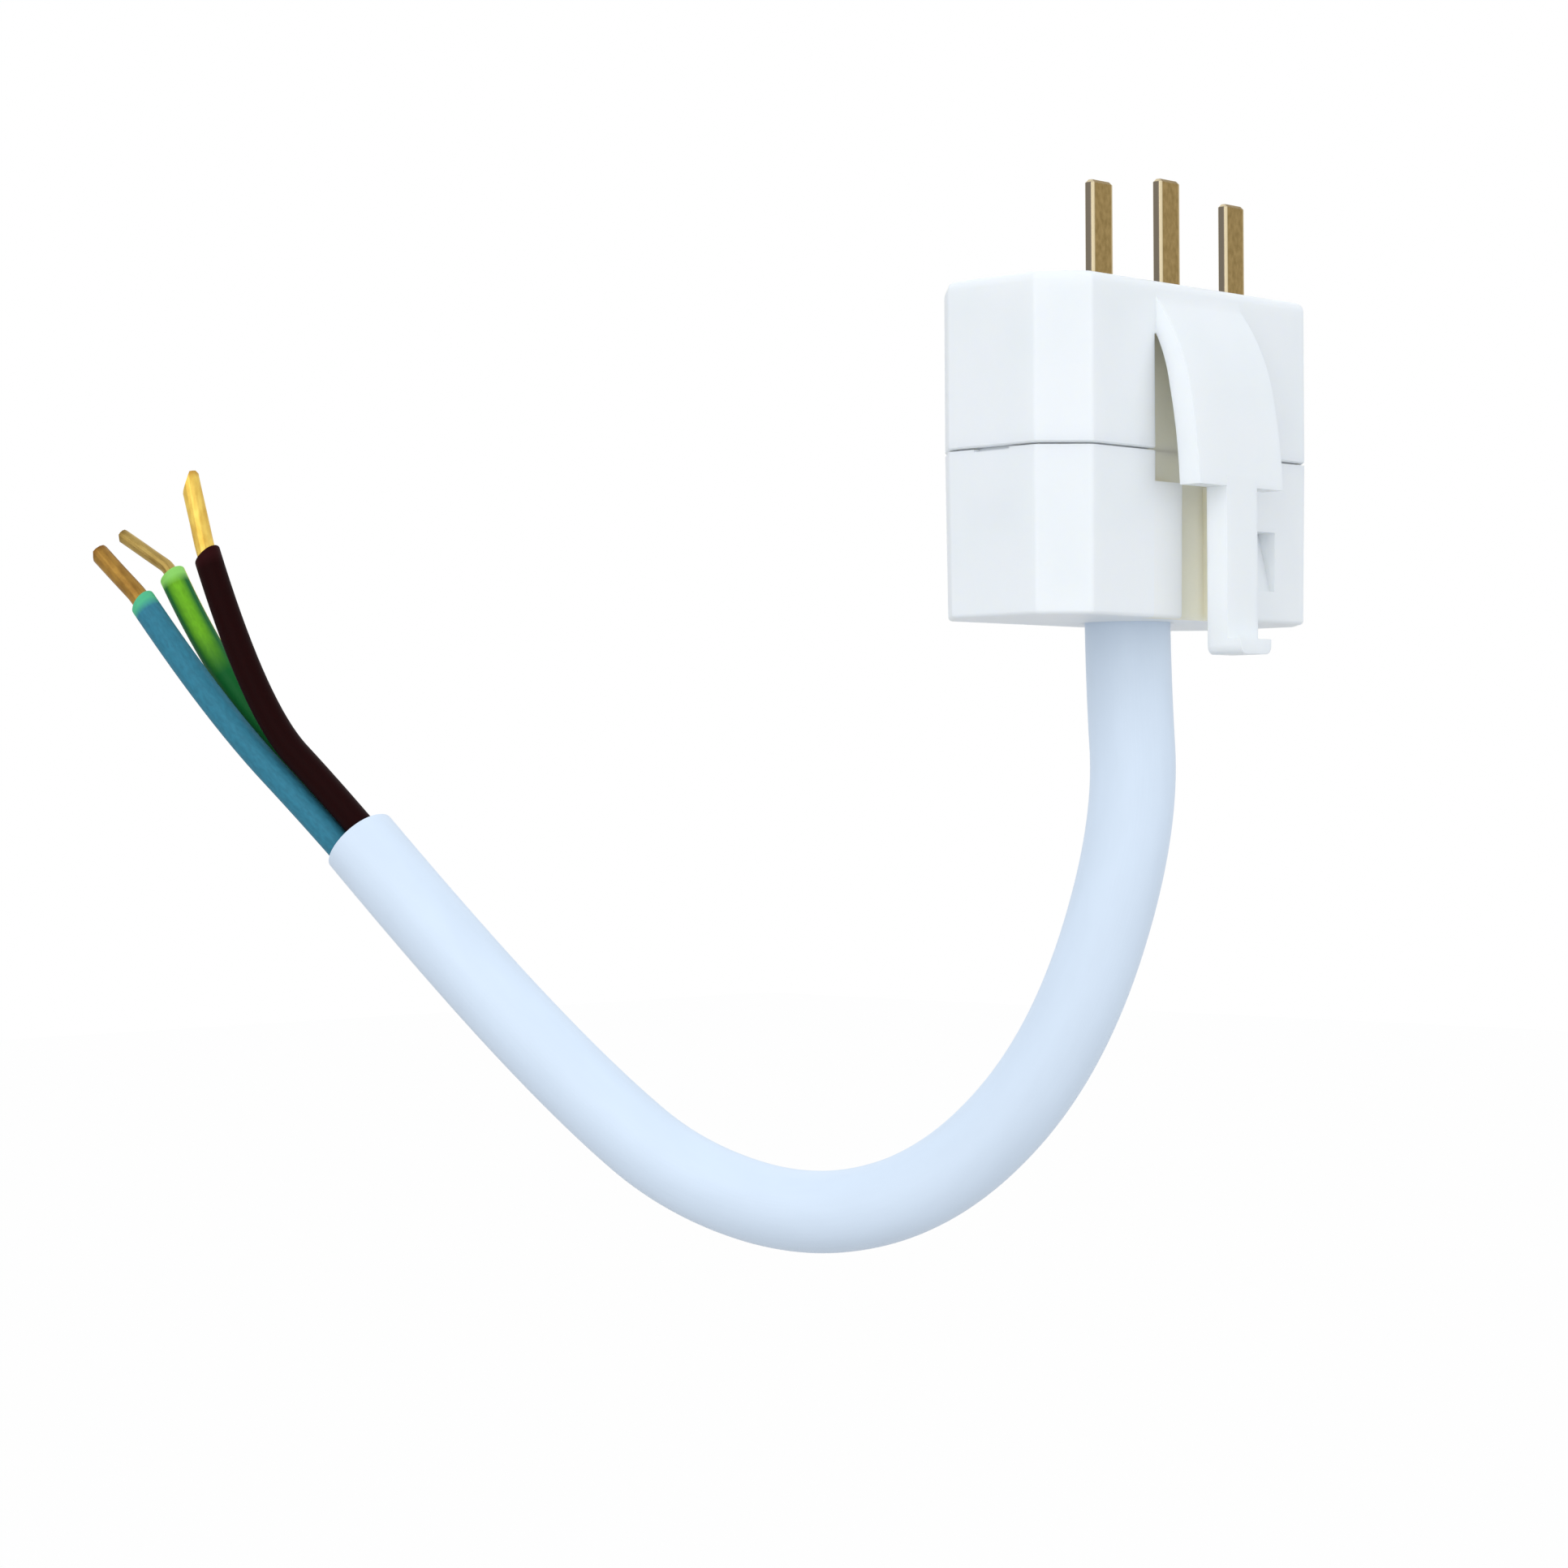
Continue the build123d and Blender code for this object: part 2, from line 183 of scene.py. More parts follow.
# The picture's camera: where it stands in metres, the way it looks, its right and its roll, and
# its lens and sensor in millimetres.
CAMERA_SPOT = (-0.267118, -0.208918, -0.046959)
AHEAD = Vector((0.7174, 0.6967, 0.0027)).normalized()
RIGHT = Vector((0.6967, -0.7174, 0.0))
CAMERA_ROLL = radians(-0.335)
LENS = 82.45
SENSOR = 36

# Soft square lamps, in metres and watts. Each faces one spot: how far past that spot it stands as
# the camera looks, how far to the right and how far above, then its width and its power.
LAMPED_SPOT = Vector((0, 0.02, -0.03))
LAMPS = {
    "key": ((-0.64, -0.36, 0.3), 0.6, 1.6),
    "fill": ((-0.36, 0.64, 0.1), 0.6, 0.74),
    "front": ((-0.6, 0.0, 0.0), 0.4, 0.38),
    "back": ((0.5, 0.0, 0.5), 0.6, 0.5),
}
# The room's light from below and from above, and its faint blue.
ROOM_LOW = 0.55
ROOM_HIGH = 0.88
ROOM_COLOUR = (0.88, 0.94, 1.0, 1.0)
# Half the floor's width in metres, and the share of white in what the camera sees of it.
FLOOR_REACH = 3.0
FLOOR_WHITE = 0.985


def linear(code):
    """An sRGB hex colour as linear red, green and blue."""
    levels = [int(code[i:i + 2], 16) / 255 for i in (1, 3, 5)]
    return [v / 12.92 if v <= 0.04045 else ((v + 0.055) / 1.055) ** 2.4 for v in levels]


def place(distance, height, offset=0.0):
    """A point of the cable's plane, in metres, moved sideways by offset."""
    spot = ALONG * distance + ACROSS * offset
    return Vector((spot.x, CABLE_Y + spot.y, height)) * MM


# Sizes and colours


def colour(name, description, code):
    """A colour setting whose default is given as sRGB hex."""
    return FloatVectorProperty(name=name, description=description, subtype="COLOR", size=3,
                               min=0, max=1, default=linear(code))


def size(name, description, default):
    """A length setting in metres."""
    return FloatProperty(name=name, description=description, default=default, min=0,
                         unit="LENGTH", precision=5)


class HousingSettings(bpy.types.PropertyGroup):
    white: colour("White", "Colour of the moulded housing", "#F5F8FA")
    # Painted shade: the warm tint painted deep in the latch's recess, where it lies in shadow.
    shade: colour("Shade", "Colour deep in the latch's recess", "#F9F3DF")
    roughness: FloatProperty(name="Roughness", description="Gloss of the moulded face",
                             default=0.42, min=0, max=1, subtype="FACTOR")
    grain: size("Grain", "Size of the mould's fine texture", 0.16 * MM)


class BladeSettings(bpy.types.PropertyGroup):
    brass: colour("Brass", "Colour of the blades' faces", "#9A8354")
    dull: colour("Dull brass", "Colour where the brass has darkened", "#856F42")
    # Painted highlight: the rubbed edge's colour also stands for the light that the rounded edges
    # catch.
    edge: colour("Edge", "Colour of the brass where its edges are rubbed", "#CDBF9E")
    # Partly painted shade: the rough sides are darker brass, and darkened further for the shade
    # they lie in.
    sheared_and_shaded: colour("Sheared side", "Colour of the blades' rough narrow sides", "#797062")
    pitch: size("Pitch", "Distance from blade to blade", 10 * MM)
    width: size("Width", "Width of a blade", 3.1 * MM)


class CableSettings(bpy.types.PropertyGroup):
    sheath: colour("Sheath", "Colour of the cable's sheath", "#DFEBF9")
    diameter: size("Diameter", "Outer diameter of the sheath", 8.1 * MM)
    bore: size("Bore", "Inner diameter of the sheath", 6.9 * MM)
    ragged: size("Ragged cut", "How far the cut end wanders", 0.12 * MM)


class CoreSettings(bpy.types.PropertyGroup):
    brown: colour("Brown", "Colour of the live core", "#1D0404")
    brown_cut: colour("Brown cut", "Colour of the live core at its cut end", "#2C0B0D")
    blue: colour("Blue", "Colour of the neutral core", "#367E95")
    blue_cut: colour("Blue cut", "Colour of the neutral core at its cut end", "#56C08F")
    # Painted light on the earth core: its light band is a painted highlight, and the deep green
    # beside it and nearer the sheath is partly painted shade.
    green: colour("Green", "Colour of the earth core's light band", "#78C022")
    deep_green_shade: colour("Deep green", "Colour of the earth core beside that band", "#0D672B")
    green_cut: colour("Green cut", "Colour of the earth core at its cut end", "#96DC6C")
    yellow: colour("Yellow", "Colour of the earth core's stripe", "#D8C92A")
    diameter: size("Diameter", "Outer diameter of a core", 3.0 * MM)
    wire: size("Wire", "Diameter of the live and neutral conductors", 2.1 * MM)
    earth_wire: size("Earth wire", "Diameter of the earth conductor", 1.5 * MM)
    strands: IntProperty(name="Strands", description="Strands round a bare end", default=13,
                         min=5, max=30)


class StageSettings(bpy.types.PropertyGroup):
    floor: colour("Floor", "Colour of the floor", "#C6C6C6")
    drop: size("Drop", "How far the floor lies under the ceiling socket", 0.3)
    light: FloatProperty(name="Light", description="Strength of the soft light all round",
                         default=1.0, min=0)


SETTINGS = {
    "plug_housing": HousingSettings,
    "plug_blades": BladeSettings,
    "plug_cable": CableSettings,
    "plug_cores": CoreSettings,
    "plug_stage": StageSettings,
}


# Nodes and materials


def node(tree, kind, settings=None, links=None):
    """Adds a shader node, sets its fields and open sockets, and links its inputs."""
    made = tree.nodes.new("ShaderNode" + kind)
    for key, value in (settings or {}).items():
        if isinstance(key, str) and hasattr(made, key):
            setattr(made, key, value)
        else:
            made.inputs[key].default_value = value
    for key, source in (links or {}).items():
        tree.links.new(source, made.inputs[key])
    return made


def new_material(name):
    """A material with an empty node tree."""
    material = bpy.data.materials.new(name)
    material.use_nodes = True
    material.node_tree.nodes.clear()
    return material, material.node_tree


def surface(tree, fixed, tone, gloss, relief):
    """Ends a material with its fixed values, its colour, its gloss and its relief.

    Gloss is a noise with the least and the greatest roughness, and relief a noise with a depth.
    """
    patches, least, greatest = gloss
    grain, depth = relief
    roughness = node(tree, "MapRange", {"To Min": least, "To Max": greatest},
                     {"Value": patches})
    bump = node(tree, "Bump", {"Distance": depth}, {"Height": grain})
    shader = node(tree, "BsdfPrincipled", fixed,
                  {"Base Color": tone, "Roughness": roughness.outputs[0],
                   "Normal": bump.outputs[0]})
    node(tree, "OutputMaterial", links={"Surface": shader.outputs[0]})


def rgba(shade, factor=1.0):
    """A colour as a socket takes it, made lighter or darker by a factor."""
    return [min(1.0, level * factor) for level in shade] + [1.0]


def speckle(tree, spot, grain, detail=2.0, stretch=1.0):
    """Noise of one grain size in metres. A stretch under 1 draws it out along Z."""
    if stretch != 1.0:
        moved = node(tree, "Mapping", {"Scale": (1.0, 1.0, stretch)}, {"Vector": spot})
        spot = moved.outputs[0]
    noise = node(tree, "TexNoise", {"Scale": 1 / grain, "Detail": detail}, {"Vector": spot})
    return noise.outputs[0]


def mottle(tree, spot, grain, low, high, detail, stretch=1.0):
    """Patches that run from one colour to another. Returns the colour and its noise."""
    noise = speckle(tree, spot, grain, detail, stretch)
    ramp = node(tree, "ValToRGB", links={"Fac": noise})
    first, last = ramp.color_ramp.elements
    first.position, last.position = 0.35, 0.65
    first.color, last.color = low, high
    return ramp.outputs[0], noise


def moulded_abs(name, settings):
    """ABS from a lightly eroded mould: even satin white, with soft broad highlights."""
    material, tree = new_material(name)
    spot = node(tree, "TexCoord").outputs["Object"]
    # Flow of the melt: a barely seen drift of tone about 9 mm across.
    tone, _ = mottle(tree, spot, 9 * MM, rgba(settings.white, 0.985),
                     rgba(settings.white, 1.01), 1.0)
    # Painted shade: deep in the latch's recess, where light has bounced off the warm white many
    # times, a warm tint is painted. The recess is told by its place: below the tongue's root, as
    # wide as the tongue, and behind the front.
    parts = node(tree, "SeparateXYZ", links={"Vector": spot})
    from_middle = node(tree, "Math", {"operation": "SUBTRACT", 1: LATCH_X * MM},
                       {0: parts.outputs[0]})
    aside = node(tree, "Math", {"operation": "ABSOLUTE"}, {0: from_middle.outputs[0]})
    recess = node(tree, "MapRange",
                  {"From Min": FRONT_Y * MM, "From Max": (FRONT_Y + RECESS_FADE) * MM},
                  {"Value": parts.outputs[1]})
    for distance, limit in ((aside.outputs[0], RECESS_HALF_WIDTH),
                            (parts.outputs[1], FRONT_Y + RECESS_DEPTH),
                            (parts.outputs[2], RECESS_TOP)):
        within = node(tree, "Math", {"operation": "LESS_THAN", 1: limit * MM}, {0: distance})
        recess = node(tree, "Math", {"operation": "MULTIPLY"},
                      {0: recess.outputs[0], 1: within.outputs[0]})
    recess_shade_painted = node(tree, "Mix", {"data_type": "RGBA", 7: rgba(settings.shade)},
                  {0: recess.outputs[0], 6: tone})
    # The eroded mould leaves a fine grain, drawn twice as coarse as it is so that it shows.
    fine = speckle(tree, spot, settings.grain)
    surface(tree, {"IOR": POLYMER_IOR, "Specular IOR Level": 0.35, "Subsurface Weight": 0.5,
                   "Subsurface Radius": (1.0, 0.95, 0.8), "Subsurface Scale": 1.5 * MM},
            recess_shade_painted.outputs[2], (fine, settings.roughness - 0.06, settings.roughness + 0.08),
            (fine, 0.004 * MM))
    return material


def stamped_brass(name, settings):
    """Stamped brass strip, gone brown-gold in air: rolled lengthwise, its edges rubbed bright and
    given a painted highlight, its narrow sides partly in painted shade.
    """
    material, tree = new_material(name)
    spot = node(tree, "TexCoord").outputs["Object"]
    # Tarnish in patches of about 0.5 mm, drawn out along the blade as the strip was rolled.
    tone, rolled = mottle(tree, spot, 0.5 * MM, rgba(settings.dull), rgba(settings.brass), 6.0,
                          0.6)
    # Distance from the middle of the nearest blade, so that one material serves all three.
    parts = node(tree, "SeparateXYZ", links={"Vector": spot})
    half = settings.pitch / 2
    nearest = node(tree, "Math", {"operation": "WRAP", 1: half, 2: -half},
                   {0: parts.outputs[0]})
    away = node(tree, "Math", {"operation": "ABSOLUTE"}, {0: nearest.outputs[0]})
    # The rubbed band, partly wear and partly a painted highlight, starts 0.42 mm from a blade's
    # side and is full at 0.24 mm. The outermost 0.02 mm is the rough side itself, its darker
    # colour partly painted shade.
    rim = settings.width / 2
    rubbed_and_highlit = node(tree, "MapRange", {"From Min": rim - 0.42 * MM, "From Max": rim - 0.24 * MM},
                {"Value": away.outputs[0]})
    flat = node(tree, "MapRange", {"From Min": rim - 0.02 * MM, "From Max": rim - 0.06 * MM},
                {"Value": away.outputs[0]})
    face = node(tree, "Mix", {"data_type": "RGBA", 7: rgba(settings.edge)},
                {0: rubbed_and_highlit.outputs[0], 6: tone})
    blade = node(tree, "Mix", {"data_type": "RGBA", 6: rgba(settings.sheared_and_shaded)},
                 {0: flat.outputs[0], 7: face.outputs[2]})
    # Rolling marks run up the blade, about 0.08 mm apart.
    marks = speckle(tree, spot, 0.08 * MM, stretch=0.04)
    surface(tree, {"Metallic": 1.0}, blade.outputs[2], (rolled, 0.4, 0.52),
            (marks, 0.0015 * MM))
    return material


def plain_metal(name, shade, roughness, grain):
    """Sawn or plated small parts: one tone, with fine marks from the tool."""
    material, tree = new_material(name)
    spot = node(tree, "TexCoord").outputs["Object"]
    tone, fine = mottle(tree, spot, grain, rgba(shade, 0.85), rgba(shade, 1.1), 3.0)
    surface(tree, {"Metallic": 1.0}, tone, (fine, roughness - 0.08, roughness + 0.1),
            (fine, 0.01 * MM))
    return material


def lie_of(tree, radius):
    """Where a point lies on a cable or core: round it and along it, in metres."""
    lie = node(tree, "Attribute", {"attribute_name": "lie"})
    scaled = node(tree, "VectorMath", {"operation": "MULTIPLY", 1: (radius, radius, 1.0)},
                  {0: lie.outputs["Vector"]})
    return scaled.outputs[0]


def sheath_pvc(name, shade, radius):
    """Extruded soft PVC: a smooth satin skin with long faint lines from the die."""
    material, tree = new_material(name)
    spot = lie_of(tree, radius)
    tone, _ = mottle(tree, spot, 3 * MM, rgba(shade, 0.985), rgba(shade, 1.015), 2.0, 0.25)
    # Lines from the die, about 0.3 mm apart and tens of millimetres long.
    lines = speckle(tree, spot, 0.3 * MM, stretch=0.02)
    surface(tree, {"IOR": POLYMER_IOR, "Specular IOR Level": 0.3}, tone, (lines, 0.39, 0.53),
            (lines, 0.008 * MM))
    return material


def painted_light_band(tree, spot, along, tone, deep, radius, length):
    """A painted highlight along one side of the earth core, between deep green sides partly in
    painted shade, and shaded off nearer the sheath.
    """
    facing = node(tree, "VectorMath", {"operation": "DOT_PRODUCT", 1: LIT_BAND_FACING}, {0: spot})
    band = node(tree, "MapRange", {"From Min": 0.64 * radius, "From Max": radius},
                {"Value": facing.outputs["Value"]})
    far = node(tree, "MapRange", {"From Min": length - BAND_GONE * MM,
                                  "From Max": length - BAND_FULL * MM}, {"Value": along})
    light = node(tree, "Math", {"operation": "MULTIPLY"},
                 {0: band.outputs[0], 1: far.outputs[0]})
    mix = node(tree, "Mix", {"data_type": "RGBA", 6: rgba(deep)},
               {0: light.outputs[0], 7: tone})
    return mix.outputs[2]


def core_pvc(name, shade, cut, gloss, radius, length, deep=None, yellow=None):
    """A core's PVC: dull and slightly powdery from the sheath, paler where it was cut."""
    material, tree = new_material(name)
    spot = lie_of(tree, radius)
    parts = node(tree, "SeparateXYZ", links={"Vector": spot})
    tone, grain = mottle(tree, spot, 0.35 * MM, rgba(shade, 0.88), rgba(shade, 1.08), 4.0, 0.4)
    # The earth core gets a painted highlight along one side, with painted shade beside it and
    # nearer the sheath.
    if deep:
        tone = painted_light_band(tree, spot, parts.outputs[2], tone, deep, radius, length)
    # The stripper stretched the last millimetre, which has gone pale.
    end = node(tree, "MapRange", {"From Min": length - 1.6 * MM, "From Max": length - 0.7 * MM},
               {"Value": parts.outputs[2]})
    mix = node(tree, "Mix", {"data_type": "RGBA", 7: rgba(cut)}, {0: end.outputs[0], 6: tone})
    if yellow:
        # A stripe is extruded along the side of the core that the picture hides.
        stripe = node(tree, "MapRange", {"From Min": -0.3 * radius, "From Max": -0.4 * radius},
                      {"Value": parts.outputs[0]})
        mix = node(tree, "Mix", {"data_type": "RGBA", 7: rgba(yellow)},
                   {0: stripe.outputs[0], 6: mix.outputs[2]})
    surface(tree, {"IOR": POLYMER_IOR, "Specular IOR Level": gloss}, mix.outputs[2],
            (grain, 0.5, 0.68), (grain, 0.01 * MM))
    return material


def bare_copper(name, bright, dull, cut, radius, length):
    """Bunched copper strands, pressed together: dull gold-brown, browner at the cut."""
    material, tree = new_material(name)
    spot = lie_of(tree, radius)
    tone, patch = mottle(tree, spot, 0.9 * MM, rgba(dull), rgba(bright), 5.0, 0.5)
    parts = node(tree, "SeparateXYZ", links={"Vector": spot})
    end = node(tree, "MapRange",
               {"From Min": length - 0.9 * MM, "From Max": length, "To Max": 0.8},
               {"Value": parts.outputs[2]})
    mix = node(tree, "Mix", {"data_type": "RGBA", 7: rgba(cut)}, {0: end.outputs[0], 6: tone})
    # Marks of the strands, 0.12 mm apart.
    fine = speckle(tree, spot, 0.12 * MM, stretch=0.1)
    surface(tree, {"Metallic": 1.0}, mix.outputs[2], (patch, 0.38, 0.6), (fine, 0.012 * MM))
    return material


def dress(name, material):
    """Gives a CAD node its finish."""
    for slot in frame["nodes"][name].material_slots:
        slot.link = "OBJECT"
        slot.material = material


# Shapes along a line


def centre_line(points):
    """The smooth line that a route's points pull, read from its NURBS spline."""
    curve = bpy.data.curves.new("route", "CURVE")
    curve.dimensions = "3D"
    curve.resolution_u = 16
    spline = curve.splines.new("NURBS")
    spline.points.add(len(points) - 1)
    for knot, spot in zip(spline.points, points):
        knot.co = (*spot, 1)
    spline.order_u = 3
    spline.use_endpoint_u = True
    holder = bpy.data.objects.new("route", curve)
    mesh = bpy.data.meshes.new_from_object(holder)
    line = [vertex.co.copy() for vertex in mesh.vertices]
    bpy.data.meshes.remove(mesh)
    bpy.data.objects.remove(holder)
    bpy.data.curves.remove(curve)
    return line


def directions(line):
    """The heading of a line at each of its points."""
    ends = [line[0]] + line + [line[-1]]
    return [(after - before).normalized() for before, after in zip(ends, ends[2:])]


def length_of(line):
    """How long a line is."""
    return sum((after - before).length for before, after in zip(line, line[1:]))


def start_ring(bm, spot, heading, radius, segments):
    """A circle of edges square to a heading, and its layer of where each point lies."""
    lie = bm.verts.layers.float_vector.new("lie")
    verts = bmesh.ops.create_circle(bm, segments=segments, radius=radius)["verts"]
    for vert in verts:
        vert[lie] = (vert.co.x / radius, vert.co.y / radius, 0)
    side = ACROSS.cross(heading).cross(heading).normalized()
    turn = Matrix((side, heading.cross(side), heading)).transposed().to_4x4()
    bmesh.ops.transform(bm, matrix=Matrix.Translation(spot) @ turn, verts=verts)
    return list(bm.edges), lie


def pull(bm, edges, matrix, lie, travel):
    """Extrudes a ring and moves the new one by a matrix. Returns the new ring's edges."""
    made = bmesh.ops.extrude_edge_only(bm, edges=edges)["geom"]
    verts = [part for part in made if isinstance(part, bmesh.types.BMVert)]
    bmesh.ops.transform(bm, matrix=matrix, verts=verts)
    for vert in verts:
        vert[lie] = (vert[lie].x, vert[lie].y, travel)
    return [part for part in made if isinstance(part, bmesh.types.BMEdge) and part.is_boundary]


def shrink(spot, factor):
    """A scale about a spot."""
    return Matrix.Translation(spot) @ Matrix.Scale(factor, 4) @ Matrix.Translation(-spot)


def sweep(bm, edges, line, lie, twist=0.0, travel=0.0, way=1):
    """Pulls a ring along a line, turned by twist radians a metre. Returns its last edges."""
    headings = directions(line)
    for i in range(1, len(line)):
        step = (line[i] - line[i - 1]).length
        travel += way * step
        turn = headings[i - 1].rotation_difference(headings[i]).to_matrix()
        turn = Matrix.Rotation(twist * step, 3, headings[i]) @ turn
        moved = Matrix.Translation(line[i]) @ turn.to_4x4() @ Matrix.Translation(-line[i - 1])
        edges = pull(bm, edges, moved, lie, travel)
    return edges, travel


def verts_of(edges):
    """The points of some edges, each once."""
    return list({vert for edge in edges for vert in edge.verts})


def trim(bm, spot, normal):
    """Cuts off what lies past a plane and closes the cut."""
    cut = bmesh.ops.bisect_plane(bm, geom=bm.verts[:] + bm.edges[:] + bm.faces[:],
                                 dist=0.0005 * MM, plane_co=spot, plane_no=normal.normalized(),
                                 clear_outer=True)["geom_cut"]
    bmesh.ops.contextual_create(
        bm, geom=[part for part in cut if isinstance(part, bmesh.types.BMEdge)])


def round_rim(bm, edges, offset):
    """Rounds the edges of a cut."""
    bmesh.ops.bevel(bm, geom=edges, offset=offset * MM, segments=RIM_STEPS, affect="EDGES",
                    profile=0.5, material=-1)


def finish_piece(name, bm, material):
    """Makes a smooth piece of a bmesh, faces outwards, and lets it ride on the plug."""
    bmesh.ops.remove_doubles(bm, verts=bm.verts, dist=0.0001 * MM)
    bmesh.ops.recalc_face_normals(bm, faces=bm.faces)
    mesh = bpy.data.meshes.new(name)
    bm.to_mesh(mesh)
    bm.free()
    mesh.polygons.foreach_set("use_smooth", [True] * len(mesh.polygons))
    mesh.set_sharp_from_angle(angle=radians(38))
    mesh.materials.append(material)
    piece = bpy.data.objects.new(name, mesh)
    bpy.context.scene.collection.objects.link(piece)
    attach(piece, BODY)
    return piece


# The cores and their wires


def core_route(name):
    """The control points of a core: down from its terminal, along the cable, then free."""
    x, y = TERMINAL[name]
    middle = [place(*spot) for spot in ROUTE]
    points = []
    for i in range(1, len(middle) - 1):
        angle = radians(CORE_ANGLE[name] + LAY_START + LAY_STEP * (i - 1))
        into = (middle[i] - middle[i - 1]).normalized()
        out = (middle[i + 1] - middle[i]).normalized()
        inward = (out - into).normalized()
        rise = CORE_SPACING * MM * sin(angle) / cos(into.angle(out) / 2)
        points.append(middle[i] + ACROSS * CORE_SPACING * MM * cos(angle) + inward * rise)
    top = [Vector((x, y, CORE_TOP)) * MM, Vector((x, y, BEND_TOP)) * MM]
    top.append(Vector((points[0].x, points[0].y, BEND_BOTTOM * MM)))
    return top + points + [place(*spot) for spot in TAIL[name]]


def wire_route(name, core):
    """The line of a bare wire: out of its core, round a small bend and on to its tip."""
    heading = (core[-1] - core[-2]).normalized()
    corner = core[-1] + heading * 0.5 * BARE_START * MM
    tip = place(*TIP[name])
    onward = (tip - corner).normalized()
    return centre_line([core[-1] - heading * BARE_INSIDE * MM, corner,
                        corner + onward * BARE_START * MM, tip])


def insulation(name, line, radius, material):
    """A core's insulation, with its rim where the stripper cut it."""
    headings = directions(line)
    bm = bmesh.new()
    edges, lie = start_ring(bm, line[0], headings[0], radius, CORE_SIDES)
    bmesh.ops.contextual_create(bm, geom=edges)
    mouth, travel = sweep(bm, edges, line, lie)
    lean = headings[-1].cross(ACROSS).normalized()
    for vert in verts_of(mouth):
        x, y, _ = vert[lie]
        slope = (line[-1] - vert.co).dot(lean) * CUT_SLOPE[name]
        vert.co += headings[-1] * (slope + CORE_RAGGED * MM * (2 * x * y - x))
    inner = pull(bm, mouth, shrink(line[-1], CORE_HOLE), lie, travel)
    deep = pull(bm, inner, Matrix.Translation(-headings[-1] * CORE_HOLE_DEPTH * MM), lie,
                travel)
    bmesh.ops.contextual_create(bm, geom=deep)
    round_rim(bm, mouth, CORE_ROUNDING)
    return finish_piece(name + "_insulation", bm, material)


def bare_end(name, line, diameter, strands, material):
    """The bare strands at the free end: pressed together, twisted, and cut at a slant."""
    bm = bmesh.new()
    headings = directions(line)
    edges, lie = start_ring(bm, line[0], headings[0], diameter / 2,
                            strands * SIDES_PER_STRAND)
    for vert in verts_of(edges):
        angle = Vector(vert[lie][:2]).angle_signed(Vector((1, 0)))
        deep = 1 - GROOVE * (0.5 - 0.5 * cos(strands * angle))
        vert.co = line[0] + (vert.co - line[0]) * deep
    bmesh.ops.contextual_create(bm, geom=edges)
    sweep(bm, edges, line, lie, twist=STRAND_TWIST)
    # Side cutters leave a chisel end: a flat between a slope on each side.
    heading, tip = headings[-1], line[-1]
    side = (CUT_SIDE - heading * heading.dot(CUT_SIDE)).normalized()
    trim(bm, tip - heading * TIP_FLAT * diameter, heading)
    for (start, slope), way in zip(CHISEL[name], (1, -1)):
        trim(bm, tip + side * way * start * diameter, heading + side * way * slope)
    return finish_piece(name + "_strands", bm, material)


def clamped_end(name, radius, material):
    """The strands inside the terminal."""
    x, y = TERMINAL[name]
    bm = bmesh.new()
    lie = bm.verts.layers.float_vector.new("lie")
    made = bmesh.ops.create_cone(bm, cap_ends=True, segments=CLAMPED_SIDES, radius1=radius,
                                 radius2=radius, depth=CLAMPED_LENGTH * MM)
    for vert in made["verts"]:
        vert[lie] = (vert.co.x / radius, vert.co.y / radius, vert.co.z)
    bmesh.ops.translate(bm, vec=Vector((x, y, CORE_TOP + CLAMPED_LENGTH / 2)) * MM,
                        verts=bm.verts)
    return finish_piece(name + "_clamped_strands", bm, material)


# The stage


def seen_white(tree):
    """1 where the camera, a gloss or a clear part looks at it, and 0 for other light."""
    path = node(tree, "LightPath")
    gloss = node(tree, "Math", {"operation": "MAXIMUM"},
                 {0: path.outputs["Is Camera Ray"], 1: path.outputs["Is Glossy Ray"]})
    seen = node(tree, "Math", {"operation": "MAXIMUM"},
                {0: gloss.outputs[0], 1: path.outputs["Is Transmission Ray"]})
    return seen.outputs[0]


def soft_room(light):
    """A soft white room, with more light from above than from below."""
    world = bpy.data.worlds.new("soft_room")
    world.use_nodes = True
    tree = world.node_tree
    tree.nodes.clear()
    heights = node(tree, "SeparateXYZ",
                   links={"Vector": node(tree, "TexCoord").outputs["Generated"]})
    strength = node(tree, "MapRange", {"From Min": -0.8, "From Max": 0.8,
                                       "To Min": ROOM_LOW * light,
                                       "To Max": ROOM_HIGH * light},
                    {"Value": heights.outputs[2]})
    room = node(tree, "Background", {"Color": ROOM_COLOUR}, {"Strength": strength.outputs[0]})
    white = node(tree, "Background", {"Color": (1, 1, 1, 1), "Strength": 1.0})
    mix = node(tree, "MixShader",
               links={0: seen_white(tree), 1: room.outputs[0], 2: white.outputs[0]})
    node(tree, "OutputWorld", links={"Surface": mix.outputs[0]})
    return world


